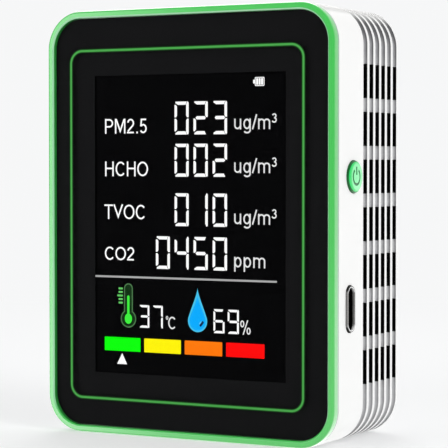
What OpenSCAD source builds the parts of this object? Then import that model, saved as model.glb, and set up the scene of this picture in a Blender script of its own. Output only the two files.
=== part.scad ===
// Desktop air quality monitor, modelled as an assembly.
// +X is to the right seen from the front, +Y goes from the front to the back, +Z is up.
// The origin is the middle of the flat underside the monitor stands on. Millimetres.
// "Depth" is the distance behind the foremost plane of the front frame.

/* [Case] */
// Overall width
case_w = 65.5; // [65:0.1:67]
// Overall height
case_h = 86; // [85.5:0.1:88]
// Overall depth
case_d = 30.5; // [30.3:0.1:32]
// Corner radius seen from the front
corner_r = 7.7; // [7.5:0.1:8.2]
// Wall thickness of the rear shell
wall = 2; // [1.9:0.05:2.1]
// Radius along the rear edge of the shell
rear_round = 1; // [0.6:0.1:1.4]

/* [Front frame] */
// Width of the frame seen from the front
frame_lip = 1.4; // [1.2:0.1:1.6]
// Depth of the frame seen from the side
frame_side = 2.2; // [2:0.1:2.3]
// Radius along the outer front edge of the frame
frame_round = 0.6; // [0.2:0.1:0.8]
// How far the front panel lies behind the frame
panel_recess = 0.3; // [0.2:0.05:0.35]

/* [Display] */
// Width of the display window
window_w = 43.8; // [42:0.1:44]
// Height of the display window
window_h = 60.4; // [58:0.1:60.4]
// How far the window's middle lies below the middle of the case
window_drop = 0.4; // [0:0.1:0.6]

/* [Vents] */
// Grooves that run round the case
groove_count = 6; // [3:1:6]
// Width of a groove
groove_w = 1.75; // [1.4:0.05:1.8]
// Distance from one groove to the next
groove_pitch = 2.79; // [2.6:0.01:2.8]
// Depth of a groove
groove_cut = 0.9; // [0.6:0.1:1]
// Distance from the middle of the last groove to the back
groove_margin = 2.5; // [2.5:0.1:2.8]
// Slots pierced along each side in one groove
side_slots = 7; // [3:1:7]
// Slots pierced along the top in one groove
top_slots = 4; // [2:1:4]
// Length of a slot
slot_len = 6.7; // [5:0.1:7]
// Distance from one slot to the next
slot_pitch = 9.4; // [9:0.05:9.4]

/* [Power button] */
// Radius of the button cap
button_r = 3.15; // [3:0.05:3.3]
// Depth of the button's axis
button_depth = 8.7; // [8.6:0.1:8.8]
// Height of the button's axis
button_z = 52.4; // [50:0.1:54]
// How far the button travels
button_travel = 0.4; // [0.2:0.05:0.4]

/* [Charging port] */
// Height of the port's middle
port_z = 26.8; // [25:0.1:30]

/* [Hidden] */
$fn = 96;
eps = 0.01; // overlap between shapes that are joined or cut
gap = 0.1; // clearance between parts that are put together
slip = 0.05; // radial clearance of a shaft in its hole

// Depths of the layers, from the front to the back. Each pair is [front, back].
panel_at = [panel_recess, panel_recess + 0.8];
mask_at = [panel_at[1], panel_at[1] + 0.1];
tape_at = [mask_at[1], mask_at[1] + 0.2];
shelf_at = [tape_at[1], tape_at[1] + 1.2];
gasket_at = [mask_at[1], mask_at[1] + 0.2];
glass_at = [gasket_at[1], gasket_at[1] + 1.4];
backlight_at = [glass_at[1], glass_at[1] + 2];
holder_at = [shelf_at[1] + gap, backlight_at[1] + 0.7];
board_at = [8.7, 10.3];
rear_inside = case_d - wall;
skirt_end = 4.4;
seam = 0.15; // bevel on both sides of the joint between frame and shell
rim_bevel = panel_recess - 0.05; // bevel along the inner edge of the frame
groove_lip = 0.05; // bevel along the edges of the grooves
post_end = 14; // where the frame's posts meet the shell's bosses

// Display
window_z = case_h / 2 - window_drop;
glass_w = window_w + 4;
glass_z = [window_z - window_h / 2 - 2.6, window_z + window_h / 2 + 2];
holder_edge = 1.2; // width of the holder's rim
leg_x = 21; // the holder's legs stand this far left and right of the middle
leg_z = [14, 70];
peg_r = 0.6; // the pegs at the ends of the legs, which sit in the main board
flex_w = 16;
flex_t = 0.2;
flex_tail = board_at[0] - 1.3; // depth of the ribbon's end in its connector
flex_z = glass_z[0] - 1.6; // height at which the ribbon turns to the back

// Case screws stand this far in from the sides of the case
screw_in = 6.2;
screw_x = case_w / 2 - screw_in;
screw_z = [screw_in, case_h - screw_in];
post_r = 2.5;
boss_r = 2.9;
shank_r = 1.1;
head_r = 1.9;
boss_web = 1.8; // material under a case screw's head

// Main board
board_w = 57;
board_z = [3.6, case_h - 3.6];
board_screw_x = 17;
board_screw_z = [5.9, case_h - 5.9];
board_shank_r = 0.9;

// Vents
groove_depths = [for (i = [0 : groove_count - 1]) case_d - groove_margin - i * groove_pitch];
liner_at = [groove_depths[groove_count - 1] - 1.2, rear_inside - gap];
liner_t = 0.4;

// Charging port: a standard USB-C receptacle
port_size = [3.26, 8.94]; // depth, height
port_wall = 0.3;
port_proud = 0.4; // how far its shell stands out of the case
port_depth = board_at[0] - port_size[0] / 2;
port_x = [case_w / 2 - 6.95, case_w / 2 + port_proud];
port_r = 1.55;
port_gap = 0.2; // between the receptacle and the rear shell

// Power button and the side-push switch behind it
inner_x = case_w / 2 - wall; // inner face of the right wall
cap_proud = 0.6; // how far the cap's face stands out of the case
cap_round = 0.5; // radius along the cap's edge
crown_h = 0.1; // rise of the cap's slightly domed face
symbol_r = 1.5; // middle of the line of the power symbol's ring
symbol_line = 0.5;
symbol_bar = [0.35, 1.95]; // the power symbol's bar, from the middle of the ring
symbol_cut = 0.15;
flange_r = button_r + 0.8;
flange_x = [inner_x - gap - 0.55, inner_x - gap];
pusher_x = [flange_x[0] - 0.85, flange_x[0]];
switch_x = [pusher_x[0] - 4.65, pusher_x[0] - 1.15];
switch_depth = board_at[0] - 1;
plunger_x = [switch_x[1] - 1.7, pusher_x[0] - slip];

// Battery and particle sensor are stuck to the rear wall
battery_size = [50, 6, 32];
battery_z = 10.2;
tape_t = 0.6;
battery_at = [rear_inside - tape_t - battery_size[1], rear_inside - tape_t];
sensor_size = [38, 12, 35];
sensor_z = 46.4;
sensor_at = [rear_inside - tape_t - sensor_size[1], rear_inside - tape_t];
sensor_wall = 1;
rotor_x = -7; // the fan's axis
rotor_z = sensor_z + 22.8;
rotor_r = 9.6;
rotor_bore = 0.8;
hub_r = 4.5;
blade_count = 18;
rotor_at = [sensor_at[0] + 2.1, sensor_at[0] + 9.1];

// Plugs on the main board
battery_plug_x = 11;
sensor_plug_x = 0;
plug_z = 43.9;
plug_back = board_at[1] + 5.2;
wire_r = 0.5;

// Gas sensors
co2_x = [-27, -7.3];
co2_z = [9.5, 43];
co2_board_at = [board_at[1] + 2, board_at[1] + 3];
co2_chamber_at = [co2_board_at[1], co2_board_at[1] + 7.2];
hcho_at = [17, 30];
voc_at = [19.5, 51.5];
buzzer_at = [17, 16];

// ---------------------------------------------------------------- shared shapes

// Position along Y of a depth behind the front
function y_at(depth) = depth - case_d / 2;

// A box between two X values, two depths and two heights
module block(x, depth, z)
    translate([x[0], y_at(depth[0]), z[0]]) cube([x[1] - x[0], depth[1] - depth[0], z[1] - z[0]]);

// A round bar along Y at [x, z]
module rod(at, depth, r)
    translate([at[0], y_at(depth[1]), at[1]]) rotate([90, 0, 0]) cylinder(h = depth[1] - depth[0], r = r);

// A round bar along X at [depth, z]
module rod_x(at, x, r)
    translate([x[0], y_at(at[0]), at[1]]) rotate([0, 90, 0]) cylinder(h = x[1] - x[0], r = r);

// A flat outline in X and Z, extruded between two depths
module slab(depth)
    translate([0, y_at(depth[1]), 0]) rotate([90, 0, 0]) linear_extrude(depth[1] - depth[0]) children();

// An outline in depth and Z, centred at [depth, z] and extruded along X
module bar_x(at, x)
    translate([x[0], y_at(at[0]), at[1]]) rotate([90, 0, 90]) linear_extrude(x[1] - x[0]) children();

module rounded_rect(w, h, r) {
    square([w - 2 * r, h], center = true);
    square([w, h - 2 * r], center = true);
    for (x = [-1, 1], y = [-1, 1]) translate([x * (w / 2 - r), y * (h / 2 - r)]) circle(r);
}

// The case seen from the front, drawn in by inset on all sides
module outline(inset = 0)
    translate([0, case_h / 2]) rounded_rect(case_w - 2 * inset, case_h - 2 * inset, corner_r - inset);

module outline_ring(outer, inner)
    difference() {
        outline(outer);
        outline(inner);
    }

// A rectangle between two X values and two heights
module rect(x, z) translate([x[0], z[0]]) square([x[1] - x[0], z[1] - z[0]]);

// Sweeps a profile round the case. The profile's x is measured out from the centre of the corners,
// so that corner_r is the outer face, and its y is minus the depth.
module around()
    translate([0, y_at(0), case_h / 2]) rotate([90, 0, 0]) for (side = [0 : 3]) {
        across = (side % 2 == 0 ? case_w : case_h) / 2 - corner_r;
        along = (side % 2 == 0 ? case_h : case_w) / 2 - corner_r;
        rotate([0, 0, 90 * side]) translate([across, along, 0]) {
            rotate([90, 0, 0]) linear_extrude(2 * along) children();
            rotate_extrude(angle = 90) children();
        }
    }

module case_corners() for (x = [-screw_x, screw_x], z = screw_z) translate([x, 0, z]) children();

module board_screw_places()
    for (x = [-board_screw_x, board_screw_x], z = board_screw_z) translate([x, 0, z]) children();

module leg_places() for (x = [-leg_x, leg_x], z = leg_z) translate([x, 0, z]) children();

// A wire through a list of [x, depth, z] points, with a ball at each bend
module wire(points, r = wire_r)
    for (i = [0 : len(points) - 1]) {
        from = points[i];
        translate([from[0], y_at(from[1]), from[2]]) sphere(r);
        if (i > 0) {
            step = points[i - 1] - from;
            translate([from[0], y_at(from[1]), from[2]])
                rotate([0, acos(step[2] / norm(step)), atan2(step[1], step[0])])
                    cylinder(h = norm(step), r = r);
        }
    }

// A screw along Y whose head faces the back
module screw(head_at, shank_end, head, shank) {
    difference() {
        rod([0, 0], head_at, head);
        for (turn = [0, 90]) translate([0, y_at(head_at[1] - 0.7), 0]) rotate([0, turn, 0])
            translate([-head * 0.6, 0, -0.25]) cube([head * 1.2, 1, 0.5]);
    }
    rod([0, 0], [shank_end, head_at[0] + eps], shank);
}

// ---------------------------------------------------------------- front

// The visible rim's cross-section, for around(): rounded in front, bevelled where it meets the shell
module rim_profile() {
    inside = corner_r - frame_lip;
    polygon([
        [inside, -rim_bevel], [inside + rim_bevel, 0], [corner_r - frame_round, 0],
        [corner_r - frame_round, -frame_round], [corner_r, -frame_round], [corner_r, seam - frame_side],
        [corner_r - seam, -frame_side], [inside, -frame_side]
    ]);
    translate([corner_r - frame_round, -frame_round]) circle(frame_round);
}

module front_frame() color("mediumseagreen") {
    difference() {
        union() {
            around() rim_profile();
            slab([shelf_at[0], frame_side]) outline(frame_lip - 0.3);
            slab([frame_side, shelf_at[1]]) outline(wall + gap);
            slab([shelf_at[1], skirt_end]) outline_ring(wall + gap, wall + gap + 1);
        }
        block([-glass_w / 2 - 0.3, glass_w / 2 + 0.3], [0, skirt_end], [glass_z[0] - 0.3, glass_z[1] + 0.3]);
    }
    case_corners() difference() {
        rod([0, 0], [shelf_at[1], post_end], post_r);
        rod([0, 0], [6, post_end + 1], shank_r + 0.02);
    }
    board_screw_places() difference() {
        rod([0, 0], [shelf_at[1], board_at[0]], 2.1);
        rod([0, 0], [4, board_at[0] + 1], board_shank_r + 0.02);
    }
}

module front_panel() color("black", 0.6) slab(panel_at) outline(frame_lip + gap);

module panel_mask() color("black") slab(mask_at) difference() {
    outline(frame_lip + gap);
    rect([-window_w / 2, window_w / 2], [window_z - window_h / 2, window_z + window_h / 2]);
}

module panel_tape() color("dimgray") slab(tape_at) difference() {
    outline(frame_lip + gap + 0.5);
    rect([-glass_w / 2 - 0.6, glass_w / 2 + 0.6], [glass_z[0] - 0.6, glass_z[1] + 0.6]);
}

// ---------------------------------------------------------------- display

module lcd_gasket() color("dimgray") slab(gasket_at) difference() {
    rect([-glass_w / 2, glass_w / 2], glass_z);
    rect([-window_w / 2 - 0.5, window_w / 2 + 0.5], [glass_z[0] + 1.6, glass_z[1] - 1.5]);
}

module lcd_glass() color("midnightblue") slab(glass_at) rect([-glass_w / 2, glass_w / 2], glass_z);

module lcd_backlight() color("white")
    slab(backlight_at) rect([-glass_w / 2 + 0.1, glass_w / 2 - 0.1], [glass_z[0] + 4.1, glass_z[1] - 0.1]);

module backlight_leds() color("lightyellow") for (x = [-16 : 8 : 16])
    block([x - 1.9, x + 1.9], [backlight_at[0] + 0.4, backlight_at[1]], [glass_z[0] + 2.7, glass_z[0] + 4]);

module lcd_holder() color("white") {
    rim = glass_w / 2 + 0.15;
    outer = rim + holder_edge;
    notch = flex_w / 2 + 0.3;
    difference() {
        block([-outer, outer], holder_at, [glass_z[0] - holder_edge, glass_z[1] + holder_edge]);
        block([-rim, rim], [0, backlight_at[1] + slip], [glass_z[0] - 0.15, glass_z[1] + 0.15]);
        block([-notch, notch], [0, glass_at[1] + 0.8], [flex_z, glass_z[0]]);
    }
    leg_places() {
        rod([0, 0], [holder_at[1] - eps, board_at[0]], 1.4);
        rod([0, 0], [board_at[0] - eps, board_at[1] - 0.3], peg_r);
    }
}

module lcd_flex() color("peru") {
    half = [-flex_w / 2, flex_w / 2];
    front = glass_at[1];
    block(half, [front, front + flex_t], [flex_z, glass_z[0] + 2.2]);
    block(half, [front, flex_tail], [flex_z, flex_z + flex_t]);
    block(half, [flex_tail - flex_t, flex_tail], [flex_z - 1.8, flex_z + flex_t]);
}

module flex_connector() color("beige") {
    outer = flex_w / 2 + 1.5;
    mouth = flex_w / 2 + 0.2;
    difference() {
        block([-outer, outer], [board_at[0] - 2.2, board_at[0]], [flex_z - 4, flex_z - 0.6]);
        block([-mouth, mouth], [flex_tail - flex_t - 0.15, flex_tail + 0.15], [flex_z - 2, flex_z]);
    }
}

// ---------------------------------------------------------------- main board

notch = post_r + 0.6; // half the width of the board's corner notches, which clear the posts

module main_board() color("darkgreen") difference() {
    block([-board_w / 2, board_w / 2], board_at, board_z);
    for (x = [-screw_x, screw_x], z = screw_z)
        block([x - notch, x + notch], [board_at[0] - 1, board_at[1] + 1], [z - notch, z + notch]);
    board_screw_places() rod([0, 0], [board_at[0] - 1, board_at[1] + 1], board_shank_r + 0.15);
    leg_places() rod([0, 0], [board_at[0] - 1, board_at[1] + 1], peg_r + slip);
}

module board_screws() color("silver")
    board_screw_places() screw([board_at[1], board_at[1] + 1.2], 5, 1.7, board_shank_r);

// Integrated circuits on the back of the board: [x, z, width, height, thickness]
chips = [
    [-4, 64, 7, 7, 1.4], [9, 66, 5, 4, 1.5], [-16, 70, 4, 4, 0.9], [18, 62, 5, 6.2, 1.6], [19, 73, 4, 4, 2],
];

module board_chips() color([0.1, 0.1, 0.11]) for (c = chips) {
    across = [c[0] - c[2] / 2, c[0] + c[2] / 2];
    up = [c[1] - c[3] / 2, c[1] + c[3] / 2];
    block(across, [board_at[1], board_at[1] + c[4]], up);
}

// Rows of resistors and capacitors beside the chips: [x, z, number]
passive_rows = [
    [-24, 50, 5], [-24, 54, 5], [-11, 54, 4], [-14, 76, 6], [4, 74, 4], [4, 58, 3], [9, 24, 1], [24, 36, 1]
];
passive_size = [1.6, 0.5, 0.8];
passive_pitch = 2.4;

module board_passives() color("tan") for (row = passive_rows, i = [0 : row[2] - 1])
    translate([row[0] + i * passive_pitch, y_at(board_at[1]), row[1]]) cube(passive_size);

// ---------------------------------------------------------------- charging port

module port_outline(grow = 0) rounded_rect(port_size[0] + 2 * grow, port_size[1] + 2 * grow, port_r + grow);

module usb_shell() color("silver") bar_x([port_depth, port_z], port_x) difference() {
    port_outline();
    port_outline(-port_wall);
}

tongue_x = [port_x[0] + 1.6, port_x[1] - 0.9];
tongue_t = 0.7;
contact_size = [0.06, 0.25];

module usb_tongue() color([0.08, 0.08, 0.08]) {
    bar_x([port_depth, port_z], [port_x[0], tongue_x[0]]) port_outline(-port_wall - 0.01);
    bar_x([port_depth, port_z], [tongue_x[0] - eps, tongue_x[1]]) square([tongue_t, 6.7], center = true);
}

// Two rows of twelve contacts, 0.5 mm apart
module usb_contacts() color("gold") for (i = [0 : 11], face = [-1, 1]) {
    at = [port_depth + face * (tongue_t + contact_size[0]) / 2, port_z + (i - 5.5) * 0.5];
    bar_x(at, [tongue_x[0], tongue_x[1] - 0.6]) square(contact_size, center = true);
}

// ---------------------------------------------------------------- power button

// The button as a profile turned round its axis, from the flange's inner face
module button_profile() {
    face = case_w / 2 + cap_proud - flange_x[0];
    flat_r = button_r - cap_round;
    crown_r = (pow(flat_r, 2) + pow(crown_h, 2)) / (2 * crown_h);
    square([flange_r, flange_x[1] - flange_x[0]]);
    square([button_r, face - cap_round]);
    square([flat_r, face]);
    translate([flat_r, face - cap_round]) circle(cap_round);
    intersection() {
        translate([0, face + crown_h - crown_r]) circle(crown_r);
        square([flat_r, face + crown_h]);
    }
}

// The power symbol: an open ring and a bar in its gap, in the button's own axes
module power_symbol() {
    open_angle = 70;
    rotate([0, 0, 180 + open_angle / 2]) rotate_extrude(angle = 360 - open_angle)
        translate([symbol_r - symbol_line / 2, 0]) square([symbol_line, 1]);
    translate([-symbol_bar[1], -symbol_line / 2, 0]) cube([symbol_bar[1] - symbol_bar[0], symbol_line, 1]);
}

module power_button() color("springgreen") {
    difference() {
        translate([flange_x[0], y_at(button_depth), button_z])
            rotate([0, 90, 0]) rotate_extrude() button_profile();
        translate([case_w / 2 + cap_proud + crown_h - symbol_cut, y_at(button_depth), button_z])
            rotate([0, 90, 0]) power_symbol();
    }
    block(pusher_x + [0, eps], [switch_depth - 0.8, button_depth + 1], [button_z - 1.2, button_z + 1.2]);
}

module switch_body() color([0.12, 0.12, 0.12]) difference() {
    block(switch_x, [board_at[0] - 2, board_at[0]], [button_z - 3.5, button_z + 3.5]);
    block([plunger_x[0] - button_travel - gap, switch_x[1] + 1], [switch_depth - 0.6, switch_depth + 0.6],
          [button_z - 1.55, button_z + 1.55]);
}

module switch_cover() color("silver") {
    block(switch_x, [board_at[0] - 2.2, board_at[0] - 2], [button_z - 3.7, button_z + 3.7]);
    for (z = [button_z - 3.7, button_z + 3.5])
        block([switch_x[0] + 1, switch_x[1] - 1], [board_at[0] - 2.2, board_at[0]], [z, z + 0.2]);
}

module switch_plunger() color("dimgray")
    block(plunger_x, [switch_depth - 0.5, switch_depth + 0.5], [button_z - 1.45, button_z + 1.45]);

// ---------------------------------------------------------------- battery, buzzer and plugs

module buzzer() color([0.1, 0.1, 0.1]) {
    height = 4.5;
    difference() {
        rod(buzzer_at, [board_at[1], board_at[1] + height], 4.5);
        rod(buzzer_at, [board_at[1] + height - 1.5, board_at[1] + height + 1], 1);
    }
}

module battery_cell() color("lightsteelblue") slab(battery_at)
    translate([0, battery_z + battery_size[2] / 2]) rounded_rect(battery_size[0], battery_size[2], 1.5);

module battery_tape() color("whitesmoke")
    block([-20, 20], [battery_at[1], rear_inside], [battery_z + 4, battery_z + battery_size[2] - 4]);

// A board socket and the plug in it, for a number of 2 mm poles
module socket(x, poles) {
    half = poles + 1;
    hole = half - 0.6;
    difference() {
        block([x - half, x + half], [board_at[1], board_at[1] + 4], [plug_z - 2.3, plug_z + 2.3]);
        block([x - hole, x + hole], [board_at[1] + 1, board_at[1] + 5], [plug_z - 1.7, plug_z + 1.7]);
    }
}

module plug(x, poles) {
    half = poles + 0.3;
    block([x - half, x + half], [board_at[1] + 1.2, plug_back], [plug_z - 1.6, plug_z + 1.6]);
}

module battery_socket() color("ivory") socket(battery_plug_x, 2);

module battery_plug() color("white") plug(battery_plug_x, 2);

module battery_leads() color("red") for (side = [-1, 1]) {
    x = battery_plug_x + side;
    turn = battery_at[0] + battery_size[1] / 2;
    end_z = battery_z + battery_size[2] + wire_r;
    wire([[x, plug_back + wire_r, plug_z], [x, turn, plug_z], [x, turn, end_z]]);
}

// ---------------------------------------------------------------- particle sensor

sensor_x = [-sensor_size[0] / 2, sensor_size[0] / 2];
sensor_zs = [sensor_z, sensor_z + sensor_size[2]];
cover_t = 0.6;
particle_board_at = [sensor_at[0] + 0.8, sensor_at[0] + 1.8];
floor_depth = sensor_at[1] - sensor_wall;
optics_x = [-4, 8];
optics_z = [sensor_z + 2, sensor_z + 9.5];
optics_at = [sensor_at[0] + 2.2, floor_depth];
beam = [optics_at[0] + 4, sensor_z + 5.8]; // the light beam's depth and height

sensor_in = [sensor_wall, -sensor_wall];
post_places = [[-15.5, 4], [15.5, 4], [15.5, 31]]; // from the middle of the sensor's lower edge

module particle_case() color("lightgray") {
    difference() {
        block(sensor_x, [sensor_at[0] + cover_t, sensor_at[1]], sensor_zs);
        block(sensor_x + sensor_in, [sensor_at[0], floor_depth], sensor_zs + sensor_in);
        for (z = [sensor_z + 6 : 3 : sensor_z + 30])
            block([sensor_x[0] - 1, sensor_x[0] + 2], [sensor_at[0] + 4, floor_depth - 1.5], [z, z + 1.6]);
        block(
            [sensor_plug_x - 3, sensor_plug_x + 3], [sensor_at[0], sensor_at[0] + 4],
            [sensor_z - 1, sensor_z + 2]
        );
    }
    for (at = post_places) rod(at + [0, sensor_z], [particle_board_at[1], floor_depth + eps], 1.3);
    difference() {
        rod([rotor_x, rotor_z], [sensor_at[0] + 2.2, floor_depth + eps], rotor_r + 1.4);
        rod([rotor_x, rotor_z], [sensor_at[0], floor_depth + 0.1], rotor_r + 0.6);
        block([sensor_x[0], rotor_x], [sensor_at[0], floor_depth], [rotor_z + 3, rotor_z + 12]);
    }
}

module particle_cover() color("silver") difference() {
    block(sensor_x, [sensor_at[0], sensor_at[0] + cover_t], sensor_zs);
    for (a = [0 : 60 : 300])
        rod([rotor_x + 6 * cos(a), rotor_z + 6 * sin(a)], [sensor_at[0] - 1, sensor_at[0] + 2], 1.6);
}

module particle_board() color("darkgreen") difference() {
    block(sensor_x + [1.2, -1.2], particle_board_at, sensor_zs + [1.2, -1.2]);
    rod([rotor_x, rotor_z], [sensor_at[0], sensor_at[0] + 4], rotor_r + 1.6);
}

module particle_motor() color("goldenrod") {
    rod([rotor_x, rotor_z], [floor_depth - 1, floor_depth], hub_r);
    rod([rotor_x, rotor_z], [rotor_at[0] + 1.3, floor_depth - 1 + eps], hub_r - 1.1);
    rod([rotor_x, rotor_z], [rotor_at[0] - 0.3, rotor_at[0] + 1.3 + eps], rotor_bore - slip);
}

module particle_rotor() color([0.15, 0.15, 0.16]) difference() {
    union() {
        rod([rotor_x, rotor_z], rotor_at, hub_r);
        rod([rotor_x, rotor_z], [rotor_at[1] - 0.8, rotor_at[1]], rotor_r);
        for (i = [0 : blade_count - 1])
            translate([rotor_x, y_at(rotor_at[0]), rotor_z]) rotate([0, i * 360 / blade_count, 0])
                translate([hub_r - 0.3, 0, 0]) rotate([0, 18, 0])
                    cube([rotor_r - hub_r - 0.2, rotor_at[1] - rotor_at[0] - 0.4, 0.6]);
    }
    rod([rotor_x, rotor_z], [rotor_at[0] - 1, rotor_at[1] + 1], rotor_bore);
    rod([rotor_x, rotor_z], [rotor_at[0] + 1, rotor_at[1] + 1], hub_r - 0.8);
}

module particle_optics() color([0.1, 0.1, 0.1]) difference() {
    block(optics_x, optics_at, optics_z);
    rod_x(beam, [optics_x[0] - 1, optics_x[1] + 1], 1.7);
    rod([2, beam[1]], [optics_at[0] - 1, beam[0]], 1.5);
}

module particle_laser() color("gold") rod_x(beam, [optics_x[0] - 4, optics_x[0] + 3], 1.65);

module particle_detector() color([0.2, 0.2, 0.25])
    rod([2, beam[1]], [particle_board_at[1], optics_at[0] + 1], 1.45);

module particle_tape() color("dimgray")
    block([-15, 15], [sensor_at[1], rear_inside], [sensor_z + 5, sensor_z + 30]);

module particle_socket() color("ivory") socket(sensor_plug_x, 3);

module particle_plug() color("white") plug(sensor_plug_x, 3);

module particle_leads() color("orange") for (i = [-1 : 1]) {
    x = sensor_plug_x + 1.5 * i;
    end = particle_board_at[1] + wire_r;
    wire([[x, plug_back + wire_r, plug_z], [x, end, plug_z], [x, end, sensor_z + 1.3]]);
}

// ---------------------------------------------------------------- gas and climate sensors

module co2_board() color("navy") block(co2_x, co2_board_at, co2_z);

co2_windows = [18, 33]; // heights of the chamber's two air windows
co2_window = 8; // height of a window

// The air windows between two depths, made larger or smaller all round by grow
module co2_window_blocks(depth, grow = 0) for (z = co2_windows) {
    half = co2_window / 2 + grow;
    block([co2_x[0] + 5 - grow, co2_x[1] - 5 + grow], depth, [z - half, z + half]);
}

module co2_chamber() color("gold") difference() {
    slab(co2_chamber_at) translate([(co2_x[0] + co2_x[1]) / 2, 25.5]) rounded_rect(17, 27, 2);
    co2_window_blocks([co2_chamber_at[1] - 1, co2_chamber_at[1] + 1]);
}

module co2_filter() color("white")
    co2_window_blocks([co2_chamber_at[1] - 0.9, co2_chamber_at[1] - 0.4], -gap);

module co2_pins() color("gold") for (x = [co2_x[0] + 1.5, co2_x[1] - 1.5], i = [0 : 4])
    rod([x, co2_z[0] + 4 + i * 2.54], [board_at[1], co2_board_at[0]], 0.32);

module formaldehyde_base() color([0.1, 0.1, 0.1]) rod(hcho_at, [board_at[1], board_at[1] + 2], 5.2);

module formaldehyde_can() color("silver") difference() {
    rod(hcho_at, [board_at[1] + 2, board_at[1] + 8], 4.6);
    rod(hcho_at, [board_at[1] + 3, board_at[1] + 7.4], 4.2);
    for (ring = [[0, 1], [1.4, 6], [2.7, 10]], i = [0 : ring[1] - 1])
        rod(hcho_at + ring[0] * [cos(i * 360 / ring[1]), sin(i * 360 / ring[1])],
            [board_at[1] + 7, board_at[1] + 9], 0.4);
}

voc_x = [voc_at[0] - 2.5, voc_at[0] + 2.5];
voc_z = [voc_at[1] - 3.5, voc_at[1] + 3.5];

module voc_sensor() color("silver") difference() {
    block(voc_x, [board_at[1], board_at[1] + 1.5], voc_z);
    rod(voc_at, [board_at[1] + 0.8, board_at[1] + 2], 0.8);
}

module climate_board() color("darkgreen") block([27.2, 28], [board_at[1], 19], [12, 22]);

module climate_chip() color([0.15, 0.15, 0.15]) block([28, 28.9], [15, 17.5], [15.8, 18.3]);

// ---------------------------------------------------------------- rear shell

module vent_liner() color([0.05, 0.05, 0.05])
    slab(liner_at) outline_ring(wall + slip, wall + slip + liner_t);

// A groove's cross-section with bevelled lips, for around()
module groove_profile(depth) {
    floor_x = corner_r - groove_cut;
    lip_x = [corner_r - groove_lip, corner_r + groove_lip];
    narrow = groove_w / 2;
    wide = narrow + 2 * groove_lip;
    polygon([
        [floor_x, narrow - depth], [lip_x[0], narrow - depth], [lip_x[1], wide - depth],
        [lip_x[1], -wide - depth], [lip_x[0], -narrow - depth], [floor_x, -narrow - depth]
    ]);
}

// Openings through the floor of one groove
module groove_slots(depth) {
    across = [depth - groove_w / 2, depth + groove_w / 2];
    for (side = [-1, 1], i = [0 : side_slots - 1]) {
        z = case_h / 2 + (i - (side_slots - 1) / 2) * slot_pitch;
        x = side * (case_w / 2 - wall / 2);
        block([x - wall, x + wall], across, [z - slot_len / 2, z + slot_len / 2]);
    }
    for (i = [0 : top_slots - 1]) {
        x = (i - (top_slots - 1) / 2) * slot_pitch;
        block([x - slot_len / 2, x + slot_len / 2], across, [case_h - wall - 1, case_h + 1]);
    }
}

module shell_outside() {
    slab([frame_side, frame_side + seam + eps]) outline(seam);
    around() polygon([
        [corner_r - seam - eps, -frame_side], [corner_r - seam, -frame_side], [corner_r, -frame_side - seam],
        [corner_r - seam - eps, -frame_side - seam]
    ]);
    slab([frame_side + seam, case_d - rear_round]) outline();
    slab([case_d - rear_round - eps, case_d]) outline(rear_round);
    around() translate([corner_r - rear_round, rear_round - case_d]) intersection() {
        circle(rear_round);
        translate([-eps, -rear_round]) square([rear_round + eps, rear_round]);
    }
}

// Upright ribs on the rear wall, on both sides of the battery and the particle sensor
module rib_pair(between, z) for (side = [-1, 1]) {
    x = side * (between / 2 + 0.7);
    block([x - 0.4, x + 0.4], [rear_inside - 3, rear_inside + eps], z);
}

module shell_ribs() {
    rib_pair(battery_size[0], [battery_z + 3, battery_z + battery_size[2] - 3]);
    rib_pair(sensor_size[0], [sensor_z + 3, sensor_z + sensor_size[2] - 6]);
}

module rear_shell() color("white") {
    difference() {
        shell_outside();
        slab([frame_side - 1, rear_inside]) outline(wall);
        for (depth = groove_depths) {
            around() groove_profile(depth);
            groove_slots(depth);
        }
        rod_x([button_depth, button_z], [inner_x - 1, case_w / 2 + 1], button_r + gap);
        bar_x([port_depth, port_z], [inner_x - 1, case_w / 2 + 1]) port_outline(port_gap);
        case_corners() rod([0, 0], [rear_inside - 1, case_d + 1], head_r + 0.2);
        slab([case_d - 0.25, case_d + 1]) translate([0, case_h / 2]) rounded_rect(38, 24, 2);
    }
    case_corners() difference() {
        rod([0, 0], [post_end, rear_inside + eps], boss_r);
        rod([0, 0], [post_end - 1, case_d], shank_r + 0.1);
        rod([0, 0], [post_end + boss_web, case_d], head_r + 0.2);
    }
    shell_ribs();
}

module case_screws() color("silver")
    case_corners() screw([post_end + boss_web, post_end + boss_web + 1.6], 7, head_r, shank_r);

// ---------------------------------------------------------------- assembly

front_frame();
front_panel();
panel_mask();
panel_tape();
lcd_gasket();
lcd_glass();
lcd_backlight();
backlight_leds();
lcd_holder();
lcd_flex();
flex_connector();
main_board();
board_screws();
board_chips();
board_passives();
usb_shell();
usb_tongue();
usb_contacts();
switch_body();
switch_cover();
switch_plunger();
power_button();
buzzer();
battery_cell();
battery_tape();
battery_socket();
battery_plug();
battery_leads();
particle_case();
particle_cover();
particle_board();
particle_motor();
particle_rotor();
particle_optics();
particle_laser();
particle_detector();
particle_tape();
particle_socket();
particle_plug();
particle_leads();
co2_board();
co2_chamber();
co2_filter();
co2_pins();
formaldehyde_base();
formaldehyde_can();
voc_sensor();
climate_board();
climate_chip();
vent_liner();
rear_shell();
case_screws();
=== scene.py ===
import math

import bmesh
import bpy
from mathutils import Matrix, Vector


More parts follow.
